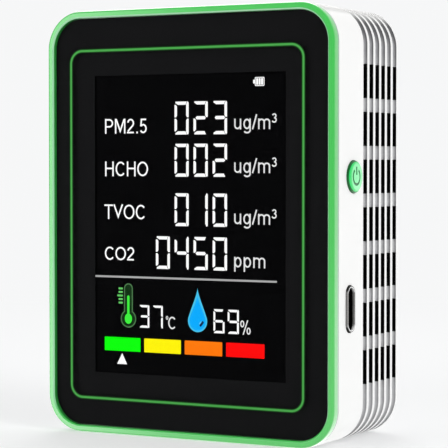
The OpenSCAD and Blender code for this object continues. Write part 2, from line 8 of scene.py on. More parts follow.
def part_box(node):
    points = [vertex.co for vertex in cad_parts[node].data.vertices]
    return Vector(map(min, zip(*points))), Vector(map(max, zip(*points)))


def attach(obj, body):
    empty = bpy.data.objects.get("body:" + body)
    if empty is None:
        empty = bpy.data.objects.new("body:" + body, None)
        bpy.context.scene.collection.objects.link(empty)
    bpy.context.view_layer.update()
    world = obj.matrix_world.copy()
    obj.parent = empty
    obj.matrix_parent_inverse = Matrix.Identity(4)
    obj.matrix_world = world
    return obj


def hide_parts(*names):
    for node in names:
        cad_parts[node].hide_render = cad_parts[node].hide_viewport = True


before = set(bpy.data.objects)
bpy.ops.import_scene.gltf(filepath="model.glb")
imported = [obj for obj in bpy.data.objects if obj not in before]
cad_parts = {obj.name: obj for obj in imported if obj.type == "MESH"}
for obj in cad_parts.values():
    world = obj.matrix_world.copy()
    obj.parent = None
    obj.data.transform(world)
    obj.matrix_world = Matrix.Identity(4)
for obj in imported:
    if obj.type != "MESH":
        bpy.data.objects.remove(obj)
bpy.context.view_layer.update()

# The object is an upright air quality monitor. +X is to the right seen from the front, its front
# faces -Y, +Z is up and the origin is the middle of its underside. Lengths below are in millimetres
# unless a name says otherwise, and MM turns them into Blender's metres.
MM = 0.001

# ---------------------------------------- places taken from the frame

FRAME_LOW, FRAME_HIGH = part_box("front_frame")
SHELL_LOW, SHELL_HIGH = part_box("rear_shell")
PANEL_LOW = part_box("front_panel")[0]
MASK_LOW, MASK_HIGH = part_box("panel_mask")
GLASS_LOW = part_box("lcd_glass")[0]
LINER_LOW, LINER_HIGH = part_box("vent_liner")
BUTTON_LOW, BUTTON_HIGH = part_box("power_button")
PORT_LOW, PORT_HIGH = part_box("usb_shell")

CASE_W = (FRAME_HIGH.x - FRAME_LOW.x) / MM
CASE_H = (FRAME_HIGH.z - FRAME_LOW.z) / MM
MIDDLE_Z = CASE_H / 2
BUTTON_AXIS = ((BUTTON_LOW.y + BUTTON_HIGH.y) / 2, (BUTTON_LOW.z + BUTTON_HIGH.z) / 2)

# ---------------------------------------- sizes of the case

CORNER_R = 7.7
WALL = 2.0
LIP = 1.4
BEVEL = 0.25
FRAME_SEAM = SHELL_LOW.y
SLOT_LENGTH = 6.7
SLOT_PITCH = 9.4
SIDE_SLOTS = 7
TOP_SLOTS = 4
SYMBOL_CUT = 0.15
SYMBOL_REACH = 2.0
PORT_R = 1.55
GROOVE_REACH = 0.65  # how far behind the liner the last groove can reach

# ---------------------------------------- the display's layout

# Positions are x from the display's middle, DISPLAY_SHIFT from the case's, and z above the underside.
WINDOW_SIZE = (43.8, 60.4)
WINDOW_Z = MIDDLE_Z - 0.4
DISPLAY_SHIFT = -0.6
PRINT_THICKNESS = 0.03
STRIPE_INSET = (6.14, 7.63)
STRIPE_SIZE = (CASE_W - 2 * STRIPE_INSET[0], CASE_H - 2 * STRIPE_INSET[1])
STRIPE_CENTRE = (0.08, WINDOW_Z - 0.07)
STRIPE_R = 2.6
STRIPE_LINE = 0.84
RULE_SIZE = (42.0, 0.38)
RULE_CENTRE = (-0.57, 32.0)
POINTER_LEFT, POINTER_RIGHT, POINTER_TIP = (-16.2, 14.25), (-13.85, 14.25), (-15.0, 16.45)
LABEL_X = -19.3
UNIT_X = 10.7
UNIT_HEIGHT = 2.9
DIGIT_SIZE = (3.24, 6.55)
DIGIT_PITCH = 4.36
DIGIT_END = 9.34
DROP_X = 2.65

# The display's pieces lie in two thin layers on its face. These are the depths of their fronts.
LOWER_LAYER = GLASS_LOW.y / MM - PRINT_THICKNESS
UPPER_LAYER = LOWER_LAYER - PRINT_THICKNESS


def srgb(red, green, blue):
    """A display colour given as 0 to 255, as the linear RGBA that shaders take."""
    def linear(level):
        share = level / 255
        return share / 12.92 if share <= 0.04045 else ((share + 0.055) / 1.055) ** 2.4
    return (linear(red), linear(green), linear(blue), 1.0)


# ---------------------------------------- shader building

def add(tree, kind, sockets=None, **settings):
    """Adds a shader node. A socket's value is either another node's output or a plain value."""
    node = tree.nodes.new("ShaderNode" + kind)
    for key, value in settings.items():
        setattr(node, key, value)
    for key, value in (sockets or {}).items():
        if isinstance(value, bpy.types.NodeSocket):
            tree.links.new(value, node.inputs[key])
        else:
            node.inputs[key].default_value = value
    return node


def calc(tree, operation, *values):
    """The output of a math node applied to the values."""
    return add(tree, "Math", dict(enumerate(values)), operation=operation).outputs[0]


def minus(tree, first, second):
    return calc(tree, "SUBTRACT", first, second)


def both(tree, first, second):
    """The product of two values: where they are masks, the places that lie in both."""
    return calc(tree, "MULTIPLY", first, second)


def ramp(tree, value, low, high, out_low=0.0, out_high=1.0):
    """Maps low..high smoothly to out_low..out_high. Low may be the larger of the two."""
    if low > high:
        low, high, out_low, out_high = high, low, out_high, out_low
    sockets = {"Value": value, "From Min": low, "From Max": high, "To Min": out_low, "To Max": out_high}
    return add(tree, "MapRange", sockets, interpolation_type="SMOOTHSTEP").outputs["Result"]


def blend_colour(tree, share, first, second):
    return add(tree, "Mix", {0: share, 6: first, 7: second}, data_type="RGBA").outputs[2]


def noise(tree, size_mm, detail=2.0, stretch=(1, 1, 1)):
    """Noise whose features are about size_mm across, in the object's own space."""
    place = add(tree, "TexCoord").outputs["Object"]
    scaled = add(tree, "Mapping", {"Vector": place, "Scale": [s / (size_mm * MM) for s in stretch]})
    return add(tree, "TexNoise", {"Vector": scaled.outputs[0], "Scale": 1.0, "Detail": detail}).outputs["Fac"]


def drifting(tree, pattern, low, high):
    """A roughness that drifts between low and high with a pattern."""
    return ramp(tree, pattern, 0.3, 0.7, low, high)


def bump(tree, height, depth_mm, normal=None):
    sockets = {"Height": height, "Distance": depth_mm * MM, "Strength": 1.0}
    if normal:
        sockets["Normal"] = normal
    return add(tree, "Bump", sockets).outputs["Normal"]


def new_material(name):
    material = bpy.data.materials.new(name)
    material.use_nodes = True
    material.node_tree.nodes.clear()
    return material, material.node_tree


def surface(material, shader):
    add(material.node_tree, "OutputMaterial", {"Surface": shader.outputs[0]})
    return material


def principled(material, sockets):
    return surface(material, add(material.node_tree, "BsdfPrincipled", sockets))


def position(tree, output="Object"):
    """The three parts of a point's place in the object's own space, or of its normal."""
    return add(tree, "SeparateXYZ", {0: add(tree, "TexCoord").outputs[output]}).outputs


def mottled(tree, colour, size_mm=6.0, amount=0.04):
    """A colour that varies slightly in lightness from place to place."""
    darker = tuple(c * (1 - amount) for c in colour[:3]) + (1.0,)
    lighter = tuple(min(1.0, c * (1 + amount)) for c in colour[:3]) + (1.0,)
    return blend_colour(tree, noise(tree, size_mm, 3.0), darker, lighter)


def plastic(name, colour, roughness=0.4, grain_mm=0.12, grain_depth=0.004):
    """Moulded plastic: a fine spark-eroded grain, slightly uneven gloss and softened edges."""
    material, tree = new_material(name)
    soft = add(tree, "Bevel", {"Radius": 0.08 * MM}, samples=4).outputs[0]
    sockets = {
        "Base Color": mottled(tree, colour),
        "Roughness": drifting(tree, noise(tree, 3.0), roughness * 0.9, roughness * 1.1),
        "Normal": bump(tree, noise(tree, grain_mm, 1.0), grain_depth, soft),
    }
    return principled(material, sockets)


def metal(name, colour, roughness=0.25, brushed=(1, 1, 12)):
    """Metal with fine brush lines that run across the stretched axis."""
    material, tree = new_material(name)
    lines = noise(tree, 0.6, 3.0, brushed)
    sockets = {
        "Base Color": blend_colour(tree, lines, tuple(c * 0.85 for c in colour[:3]) + (1.0,), colour),
        "Metallic": 1.0,
        "Roughness": drifting(tree, lines, roughness * 0.8, roughness * 1.25),
        "Normal": bump(tree, lines, 0.003),
    }
    return principled(material, sockets)


# ---------------------------------------- materials of the case

def outline_inset(tree, across, up, width, height, radius):
    """How far a point lies in from a rounded rectangle's outline, all in metres."""
    out_across = minus(tree, calc(tree, "ABSOLUTE", across), width / 2 - radius)
    out_up = minus(tree, calc(tree, "ABSOLUTE", up), height / 2 - radius)
    squares = [calc(tree, "POWER", calc(tree, "MAXIMUM", out, 0.0), 2.0) for out in (out_across, out_up)]
    straight = calc(tree, "MINIMUM", calc(tree, "MAXIMUM", out_across, out_up), 0.0)
    reach = calc(tree, "ADD", calc(tree, "SQRT", calc(tree, "ADD", *squares)), straight)
    return minus(tree, radius, reach)


def case_inset(tree, x, z):
    """How far a point lies in from the case's outline, seen from the front."""
    height = minus(tree, z, MIDDLE_Z * MM)
    return outline_inset(tree, x, height, CASE_W * MM, CASE_H * MM, CORNER_R * MM)


def in_slot(tree, along, count):
    """1 where a position along the case, counted from its middle, lies in one of count slots."""
    turns = calc(tree, "DIVIDE", along, SLOT_PITCH * MM)
    if count % 2:
        turns = calc(tree, "ADD", turns, 0.5)
    off_centre = calc(tree, "ABSOLUTE", minus(tree, calc(tree, "FRACT", turns), 0.5))
    in_row = calc(tree, "LESS_THAN", calc(tree, "ABSOLUTE", along), count / 2 * SLOT_PITCH * MM)
    return both(tree, calc(tree, "LESS_THAN", off_centre, SLOT_LENGTH / SLOT_PITCH / 2), in_row)


# How the painted shade in the grooves changes with height above the case's middle, in order: where a change
# starts, where it is full, and the painted greys near a groove's lip and at its bottom.
GROOVE_PAINTED_SHADES = [
    (30.5, 34.5, (108, 108, 110), (205, 205, 207)),
    (35.5, 38.5, (108, 108, 110), (152, 152, 154)),
    (39.5, 42.2, (236, 236, 235), (236, 236, 235)),
    (-31.0, -34.0, (160, 160, 162), (222, 222, 223)),
]


def shell_material():
    """White moulded plastic with painted shade: greyer in the grooves, near-black on the walls of the slots
    and the bores, and greyer on the rounded edges that face up.
    """
    material, tree = new_material("white_shell_plastic")
    x, y, z = position(tree)
    upward = position(tree, "Normal")[2]
    inset = case_inset(tree, x, z)
    behind_front = calc(tree, "GREATER_THAN", y, LINER_LOW.y)
    before_back = calc(tree, "LESS_THAN", y, LINER_HIGH.y + GROOVE_REACH * MM)
    vented = both(tree, behind_front, before_back)
    # Painted shade: the grooves and slots sunk below the outer surface get the shade in them as colour.
    shaded_hollows = both(tree, ramp(tree, inset, 0.01 * MM, 0.025 * MM), vented)
    at_side = calc(tree, "GREATER_THAN", calc(tree, "ABSOLUTE", x), (CASE_W / 2 - WALL - 0.1) * MM)
    at_top = calc(tree, "GREATER_THAN", z, (CASE_H - WALL - 0.1) * MM)
    height = minus(tree, z, MIDDLE_Z * MM)
    side_slots = both(tree, in_slot(tree, height, SIDE_SLOTS), at_side)
    top_slots = both(tree, in_slot(tree, x, TOP_SLOTS), at_top)
    # Painted shadow: the walls of the slots are painted near-black, with little gloss, for the shade inside
    # the case.
    slots = both(tree, calc(tree, "MAXIMUM", side_slots, top_slots), shaded_hollows)

    # Painted shade: the walls of the holes through the sides, in front of the vents, are painted dark.
    drilled = both(tree, ramp(tree, inset, 0.05 * MM, 0.12 * MM), at_side)
    painted_bore_shade = both(tree, drilled, minus(tree, 1.0, behind_front))

    # Painted shade in a groove: one grey near its lip and another at its bottom.
    def painted_groove_shade(near_lip, at_bottom):
        return blend_colour(tree, ramp(tree, inset, 0.05 * MM, 0.8 * MM), srgb(*near_lip), srgb(*at_bottom))

    grey = painted_groove_shade((142, 142, 144), (230, 230, 231))
    for start, full, near_lip, at_bottom in GROOVE_PAINTED_SHADES:
        stretch = ramp(tree, height, start * MM, full * MM)
        grey = blend_colour(tree, stretch, grey, painted_groove_shade(near_lip, at_bottom))
    # Painted shade: rounded edges that face up are painted greyer.
    painted_top_shade = both(tree, ramp(tree, upward, 0.72, 0.88), ramp(tree, upward, 0.999, 0.99))
    white = mottled(tree, srgb(244, 244, 243), 8.0, 0.012)
    white = blend_colour(tree, painted_top_shade, white, srgb(190, 190, 188))
    colour = blend_colour(tree, shaded_hollows, white, grey)
    colour = blend_colour(tree, slots, colour, srgb(4, 4, 5))
    colour = blend_colour(tree, painted_bore_shade, colour, srgb(30, 32, 32))
    soft = add(tree, "Bevel", {"Radius": 0.06 * MM}, samples=4).outputs[0]
    sockets = {
        "Base Color": colour,
        "Roughness": drifting(tree, noise(tree, 4.0), 0.42, 0.52),
        "Specular IOR Level": ramp(tree, slots, 0.0, 1.0, 0.4, 0.05),
        "Normal": bump(tree, noise(tree, 0.14, 1.0), 0.004, soft),
    }
    return principled(material, sockets)


def frame_material():
    """Glossy green plastic with painted light: a painted highlight makes the inner bevel paler, except along
    the bottom, and a painted shade greys the back edge at the seam.
    """
    material, tree = new_material("green_frame_plastic")
    x, y, z = position(tree)
    upward = position(tree, "Normal")[2]
    inner = (LIP - BEVEL) * MM
    # Painted highlight on the inner bevel, left off where the bevel faces up.
    bevel_highlight = ramp(tree, case_inset(tree, x, z), inner - 0.08 * MM, inner + 0.04 * MM)
    bevel_highlight = both(tree, bevel_highlight, calc(tree, "LESS_THAN", y, PANEL_LOW.y + 0.05 * MM))
    bevel_highlight = both(tree, bevel_highlight, ramp(tree, upward, 0.1, 0.5, 1.0, 0.0))
    # Painted shade along the back edge, where the frame meets the shell.
    seam_shade = ramp(tree, y, FRAME_SEAM - 0.9 * MM, FRAME_SEAM - 0.3 * MM)
    green = mottled(tree, srgb(66, 194, 84), 5.0, 0.02)
    pale = blend_colour(tree, bevel_highlight, green, srgb(150, 218, 165))
    colour = blend_colour(tree, seam_shade, pale, srgb(120, 175, 135))
    sockets = {
        "Base Color": colour,
        "Roughness": drifting(tree, noise(tree, 3.0), 0.14, 0.18),
        "Specular IOR Level": 0.7,
        "Coat Weight": 0.6,
        "Coat Roughness": 0.06,
        "Normal": bump(tree, noise(tree, 0.3, 1.0), 0.0015),
    }
    return principled(material, sockets)


SYMBOL_GREEN = srgb(10, 110, 55)


def button_material():
    """Glossy green plastic with a painted highlight on its face that turns to a darker painted shade
    towards the edge of the cap, a dark painted shadow outline round its front half and a darker engraved
    symbol."""
    material, tree = new_material("green_button_plastic")
    x, y, z = position(tree)
    across = minus(tree, y, BUTTON_AXIS[0])
    up = minus(tree, z, BUTTON_AXIS[1])

    def distance(shift, squeeze):
        """The distance from an axis shift mm behind the button's own, with heights squeezed."""
        first = calc(tree, "POWER", minus(tree, across, shift * MM), 2.0)
        second = calc(tree, "POWER", both(tree, up, squeeze), 2.0)
        return calc(tree, "SQRT", calc(tree, "ADD", first, second))
    off_centre = distance(0.35, 0.92)
    away = distance(0.0, 1.0)
    radius = (BUTTON_HIGH.z - BUTTON_LOW.z) / 2
    forward = calc(tree, "DIVIDE", calc(tree, "MINIMUM", across, 0.0), radius)
    narrowing = both(tree, calc(tree, "POWER", forward, 2.0), 0.2 * MM)
    # Painted shadow: a dark outline round the front half of the cap's edge.
    outline = ramp(tree, minus(tree, away, narrowing), 2.84 * MM, 2.96 * MM)
    outline = both(tree, outline, ramp(tree, across, 1.4 * MM, 0.5 * MM))
    deep = ramp(tree, x, BUTTON_HIGH.x - SYMBOL_CUT / 2 * MM, BUTTON_HIGH.x - (SYMBOL_CUT / 2 + 0.015) * MM)
    engraved = both(tree, deep, calc(tree, "LESS_THAN", away, SYMBOL_REACH * MM))

    # Painted highlight on the face, turning to a darker painted shade towards the cap's edge.
    face = mottled(tree, srgb(122, 242, 160), 2.0, 0.02)
    colour = blend_colour(tree, ramp(tree, off_centre, 2.2 * MM, 2.75 * MM), face, srgb(38, 214, 104))
    colour = blend_colour(tree, outline, colour, srgb(0, 98, 40))
    colour = blend_colour(tree, engraved, colour, SYMBOL_GREEN)
    sockets = {
        "Base Color": colour,
        "Roughness": drifting(tree, noise(tree, 1.5), 0.3, 0.36),
        "Specular IOR Level": 0.35,
        "Coat Weight": ramp(tree, off_centre, 2.2 * MM, 2.7 * MM, 0.8, 0.0),
        "Coat Roughness": 0.05,
        "Normal": bump(tree, noise(tree, 0.3, 1.0), 0.001),
    }
    return principled(material, sockets)


def port_material():
    """Plated steel with painted light: a painted highlight at the round ends of the port's mouth, a painted
    shadow outline round them, lit inner walls and a darker outer rim, and painted shade that loses it in the
    dark further in.
    """
    material, tree = new_material("plated_port_steel")
    x, y, z = position(tree)
    outward = position(tree, "Normal")[0]
    size = PORT_HIGH - PORT_LOW
    across = minus(tree, y, PORT_LOW.y + size.y / 2)
    up = minus(tree, z, PORT_LOW.z + size.z / 2)
    inset = outline_inset(tree, across, up, size.y, size.z, PORT_R * MM)
    lines = noise(tree, 0.5, 3.0, (1, 1, 8))
    # Painted light and shade: the inner walls are painted lighter as lit, the faces pointing out of the side
    # darker.
    walls = blend_colour(tree, lines, srgb(142, 140, 139), srgb(160, 158, 157))
    rim = blend_colour(tree, lines, srgb(96, 94, 93), srgb(110, 108, 107))
    steel = blend_colour(tree, ramp(tree, outward, 0.4, 0.8), walls, rim)
    # Painted highlight at the round ends of the mouth, and a painted shadow outline in the gap round them.
    ends = ramp(tree, calc(tree, "ABSOLUTE", up), 2.9 * MM, 3.7 * MM)
    steel = blend_colour(tree, ends, steel, srgb(250, 250, 250))
    gap_shadow = both(tree, ends, ramp(tree, inset, 0.2 * MM, 0.12 * MM))
    steel = blend_colour(tree, gap_shadow, steel, srgb(12, 12, 12))
    # Painted shade: further than about half a millimetre into the mouth the steel is painted nearly black.
    lit = ramp(tree, x, PORT_HIGH.x - 0.5 * MM, PORT_HIGH.x - 0.3 * MM)
    sockets = {
        "Base Color": blend_colour(tree, lit, srgb(5, 5, 5), steel),
        "Metallic": 0.25,
        "Roughness": drifting(tree, lines, 0.25, 0.35),
        "Normal": bump(tree, lines, 0.002),
    }
    return principled(material, sockets)


def panel_material():
    """Smoked acrylic with an anti-glare coat: it mirrors only at shallow angles. A ray is tinted
    once, where it enters."""
    material, tree = new_material("smoked_acrylic")
    leaving = add(tree, "NewGeometry").outputs["Backfacing"]
    fresnel = ramp(tree, add(tree, "Fresnel", {"IOR": 1.49}).outputs[0], 0.06, 1.0, 0.0, 0.8)
    mirrored = both(tree, fresnel, minus(tree, 1.0, leaving))
    waviness = bump(tree, noise(tree, 30.0, 0.0), 0.01)
    mirror = add(tree, "BsdfGlossy", {"Color": (1, 1, 1, 1), "Roughness": 0.03, "Normal": waviness})
    smoke = blend_colour(tree, noise(tree, 12.0), (0.75, 0.75, 0.76, 1), (0.765, 0.765, 0.765, 1))
    clear = add(tree, "BsdfTransparent", {"Color": blend_colour(tree, leaving, smoke, (1, 1, 1, 1))})
    mixed = add(tree, "MixShader", {0: mirrored, 1: clear.outputs[0], 2: mirror.outputs[0]})
    return surface(material, mixed)


def black_print_material():
    """Black ink with a faint screen-print grain."""
    material, tree = new_material("black_print")
    dots = noise(tree, 0.25, 1.0)
    sockets = {
        "Base Color": blend_colour(tree, dots, srgb(24, 24, 25), srgb(27, 27, 28)),
        "Roughness": 0.6,
        "Specular IOR Level": 0.05,
    }
    return principled(material, sockets)


def pinstripe_material():
    """Green ink that is brightest along the middle of its line and dark along its edges."""
    material, tree = new_material("pinstripe_ink")
    x, _, z = position(tree)
    across = minus(tree, x, (STRIPE_CENTRE[0] + DISPLAY_SHIFT) * MM)
    up = minus(tree, z, STRIPE_CENTRE[1] * MM)
    width, height = STRIPE_SIZE
    off = calc(tree, "ABSOLUTE", outline_inset(tree, across, up, width * MM, height * MM, STRIPE_R * MM))
    bright = mottled(tree, srgb(74, 164, 76), 3.0, 0.03)
    fading = blend_colour(tree, ramp(tree, off, 0.06 * MM, 0.32 * MM), bright, srgb(6, 62, 8))
    sockets = {
        "Base Color": blend_colour(tree, ramp(tree, off, 0.26 * MM, 0.52 * MM), fading, srgb(4, 30, 5)),
        "Roughness": drifting(tree, noise(tree, 0.4), 0.5, 0.6),
        "Specular IOR Level": 0.1,
    }
    return principled(material, sockets)


def display_material():
    """The dark face of the display, with a very faint grid of cells."""
    material, tree = new_material("display_glass")
    place = add(tree, "TexCoord").outputs["Object"]
    grid = add(tree, "TexBrick", {
        "Vector": add(tree, "Mapping", {"Vector": place, "Rotation": (math.pi / 2, 0, 0)}).outputs[0],
        "Color1": srgb(6, 6, 7), "Color2": srgb(8, 8, 9), "Mortar": srgb(3, 3, 4),
        "Scale": 1.0, "Mortar Size": 0.02 * MM, "Brick Width": 0.3 * MM, "Row Height": 0.3 * MM,
    }, offset=0.0)
    sockets = {"Base Color": grid.outputs[0], "Roughness": 0.5, "Specular IOR Level": 0.02}
    return principled(material, sockets)


def lit_material(name, colour, strength):
    """A lit display element: it glows in its colour, with a trace of cell-to-cell variation."""
    material, tree = new_material(name)
    shade = mottled(tree, colour, 0.5, 0.05)
    sockets = {
        "Base Color": tuple(c * 0.2 for c in colour[:3]) + (1.0,),
        "Roughness": 0.5,
        "Specular IOR Level": 0.1,
        "Emission Color": shade,
        "Emission Strength": strength,
    }
    return principled(material, sockets)


def shade_cloth_material():
    """Black woven cloth with a soft sheen on its threads, a dark sheet that stands in for the shade inside
    the case behind the slots.
    """
    material, tree = new_material("black_shade_cloth")
    fibre = noise(tree, 0.08, 2.0)
    sockets = {
        "Base Color": blend_colour(tree, fibre, srgb(6, 6, 7), srgb(16, 16, 17)),
        "Roughness": 0.8,
        "Sheen Weight": 0.05,
        "Normal": bump(tree, fibre, 0.01),
    }
    return principled(material, sockets)


# ---------------------------------------- materials of the inside

def board_material(name, mask, track):
    """A circuit board: tracks under coloured solder mask, with tinned pads showing here and there."""
    material, tree = new_material(name)
    place = add(tree, "TexCoord").outputs["Object"]
    flat = add(tree, "Mapping", {"Vector": place, "Rotation": (math.pi / 2, 0, 0)}).outputs[0]
    tracks = add(tree, "TexBrick", {
        "Vector": flat, "Scale": 1.0,
        "Mortar Size": 0.12 * MM, "Brick Width": 3.1 * MM, "Row Height": 1.2 * MM,
    }, offset=0.37)
    pads = add(tree, "TexVoronoi", {"Vector": flat, "Scale": 420.0, "Randomness": 0.35}).outputs["Distance"]
    is_pad = calc(tree, "LESS_THAN", pads, 0.16)
    green = blend_colour(tree, tracks.outputs["Fac"], mask, track)
    colour = blend_colour(tree, is_pad, green, srgb(196, 190, 170))
    sockets = {
        "Base Color": colour,
        "Metallic": is_pad,
        "Roughness": drifting(tree, noise(tree, 2.0), 0.28, 0.38),
        "Normal": bump(tree, tracks.outputs["Fac"], 0.02),
    }
    return principled(material, sockets)


def foam_material():
    """Closed-cell foam tape."""
    material, tree = new_material("black_foam")
    place = add(tree, "TexCoord").outputs["Object"]
    cells = add(tree, "TexVoronoi", {"Vector": place, "Scale": 4000.0}).outputs["Distance"]
    sockets = {
        "Base Color": blend_colour(tree, cells, srgb(22, 22, 22), srgb(48, 48, 48)),
        "Roughness": 0.95,
        "Normal": bump(tree, cells, 0.05),
    }
    return principled(material, sockets)


def foil_material():
    """The battery's laminated foil, dull and slightly crinkled."""
    material, tree = new_material("battery_foil")
    crinkle = noise(tree, 5.0, 4.0)
    sockets = {
        "Base Color": mottled(tree, srgb(190, 193, 198), 4.0, 0.05),
        "Metallic": 0.85,
        "Roughness": drifting(tree, crinkle, 0.35, 0.5),
        "Normal": bump(tree, crinkle, 0.12),
    }
    return principled(material, sockets)


def diode_material():
    """White diode packages with a yellow phosphor."""
    material, tree = new_material("diode_phosphor")
    sockets = {
        "Base Color": blend_colour(tree, noise(tree, 0.6), srgb(240, 226, 130), srgb(250, 246, 225)),
        "Roughness": 0.4,
        "Emission Color": srgb(255, 250, 230),
        "Emission Strength": 0.3,
    }
    return principled(material, sockets)


# ---------------------------------------- mesh building

def linked(name, data):
    """A new object in the scene."""
    piece = bpy.data.objects.new(name, data)
    bpy.context.scene.collection.objects.link(piece)
    return piece


def from_bmesh(name, bm):
    mesh = bpy.data.meshes.new(name)
    bm.to_mesh(mesh)
    bm.free()
    return linked(name, mesh)


def mesh_object(name, build, material, body="case", smooth=False):
    """Makes a mesh piece with build(bm), which works in millimetres, and lets it ride on a body."""
    bm = bmesh.new()
    build(bm)
    bmesh.ops.scale(bm, vec=(MM, MM, MM), verts=bm.verts)
    bmesh.ops.recalc_face_normals(bm, faces=bm.faces)
    piece = from_bmesh(name, bm)
    for polygon in piece.data.polygons:
        polygon.use_smooth = smooth
    piece.data.materials.append(material)
    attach(piece, body)
    return piece


def slab(bm, outline, y_low, y_high, hole=None):
    """A flat piece between two depths. Its outline and its hole are as many (x, z) points each."""
    rings = []
    for y in (y_low, y_high):
        rings.append([bm.verts.new((x, y, z)) for x, z in outline])
        if hole:
            rings.append([bm.verts.new((x, y, z)) for x, z in hole])
    count = len(outline)
    if not hole:
        bm.faces.new(rings[0])
        bm.faces.new(list(reversed(rings[1])))
        walls = [(rings[0], rings[1])]
    else:
        walls = [(rings[0], rings[2]), (rings[1], rings[3]), (rings[0], rings[1]), (rings[2], rings[3])]
    for first, second in walls:
        for i in range(count):
            j = (i + 1) % count
            bm.faces.new((first[i], first[j], second[j], second[i]))


def arc(centre, radius, start_deg, end_deg, steps):
    """Points along an arc, both ends included. Angles turn from +x towards +z."""
    angles = [math.radians(start_deg + (end_deg - start_deg) * i / steps) for i in range(steps + 1)]
    return [(centre[0] + radius * math.cos(a), centre[1] + radius * math.sin(a)) for a in angles]


def rounded_rect(width, height, radius, centre=(0, 0), steps=12):
    points = []
    for turn, (sx, sz) in enumerate(((1, 1), (-1, 1), (-1, -1), (1, -1))):
        middle = (centre[0] + sx * (width / 2 - radius), centre[1] + sz * (height / 2 - radius))
        points += arc(middle, radius, 90 * turn, 90 * turn + 90, steps)
    return points


def stroke(points, width, closed=False):
    """The outline of a line of constant width through (x, z) points: its left side, then its right
    side. A closed line gives the two apart, for slab()'s outline and hole."""
    half = width / 2
    count = len(points)
    left, right = [], []
    for i, (x, z) in enumerate(points):
        before = points[i - 1] if i or closed else points[i]
        after = points[(i + 1) % count] if i < count - 1 or closed else points[i]
        first = Vector((x - before[0], z - before[1]))
        second = Vector((after[0] - x, after[1] - z))
        first = first.normalized() if first.length > 0 else second.normalized()
        second = second.normalized() if second.length > 0 else first
        way = (first + second).normalized()
        reach = half / max(0.35, way.dot(first))
        left.append((x - way.y * reach, z + way.x * reach))
        right.append((x + way.y * reach, z - way.x * reach))
    return (left, right) if closed else left + right[::-1]


def printed(name, outlines, material, front=LOWER_LAYER):
    """A thin printed piece. Each outline is a list of (x, z) points or an (outline, hole) pair, and
    front is the y of its face."""
    def build(bm):
        for shape in outlines:
            outline, hole = shape if isinstance(shape, tuple) else (shape, None)
            slab(bm, outline, front, front + 0.9 * PRINT_THICKNESS, hole)
        bmesh.ops.translate(bm, vec=(DISPLAY_SHIFT, 0, 0), verts=bm.verts)
    mesh_object(name, build, material)


# ---------------------------------------- display: numbers

SEGMENTS = {
    "0": "abcdef", "1": "bc", "2": "abged", "3": "abgcd", "4": "fgbc", "5": "afgcd",
    "6": "afgedc", "7": "abc", "9": "abfgcd",
}


def segment_outlines(digit, x, z, size):
    """The bars of one seven-segment digit whose lower left corner is at (x, z)."""
    width, height = size
    unit = height / DIGIT_SIZE[1]
    right, top, middle = x + width, z + height, z + height / 2
    upright, level, gap = 0.56 * unit, 0.64 * unit, 0.14 * unit
    cut, tip = 0.32 * unit, 0.22 * unit

    def mirrored(outline):
        return [(px, 2 * middle - pz) for px, pz in outline]

    upper_right = [
        (right, middle + gap), (right, top - tip), (right - 0.7 * tip, top), (right - 1.3 * tip, top),
        (right - upright, top - 1.7 * cut), (right - upright, middle + gap + cut),
        (right - upright + 0.7 * cut, middle + gap),
    ]
    under_top = top - level
    upper_left = [
        (x, middle + gap), (x, under_top), (x + 0.5 * upright, under_top), (x + upright, under_top - cut),
        (x + upright, middle + gap + cut), (x + upright - 0.7 * cut, middle + gap),
    ]
    upper = [
        (x + tip, top), (right - 1.9 * tip, top), (right - upright - 0.7 * tip, top - level),
        (x + 0.8 * unit, top - level), (x + tip, top - 0.45 * level),
    ]
    half, left_end, right_end = level / 2, x + 0.48 * unit, right - 0.42 * unit
    centre = [
        (left_end, middle), (left_end + 0.27 * unit, middle - half), (right_end - 0.28 * unit, middle - half),
        (right_end, middle), (right_end - 0.28 * unit, middle + half),
        (left_end + 0.27 * unit, middle + half),
    ]
    bars = {
        "a": upper, "b": upper_right, "c": mirrored(upper_right), "d": mirrored(upper),
        "e": mirrored(upper_left), "f": upper_left, "g": centre,
    }
    return [bars[s] for s in SEGMENTS[digit]]


def reading(name, digits, end_x, z, material, size=DIGIT_SIZE, pitch=DIGIT_PITCH):
    """A row of digits whose last one ends at end_x."""
    outlines = []
    for i, digit in enumerate(digits):
        left = end_x - size[0] - (len(digits) - 1 - i) * pitch
        outlines += segment_outlines(digit, left, z, size)
    printed(name, outlines, material)


# ---------------------------------------- display: lettering

def bend(centre, radii, start_deg, end_deg, steps=16):
    """Points along an elliptical arc, both ends included."""
    return [(centre[0] + radii[0] * px, centre[1] + radii[1] * pz)
            for px, pz in arc((0, 0), 1, start_deg, end_deg, steps)]


def ring(centre, radii, steps=28):
    """A closed line. The last point isn't repeated, which is what marks a line as closed."""
    return tuple(bend(centre, radii, 0, 360, steps)[:-1])


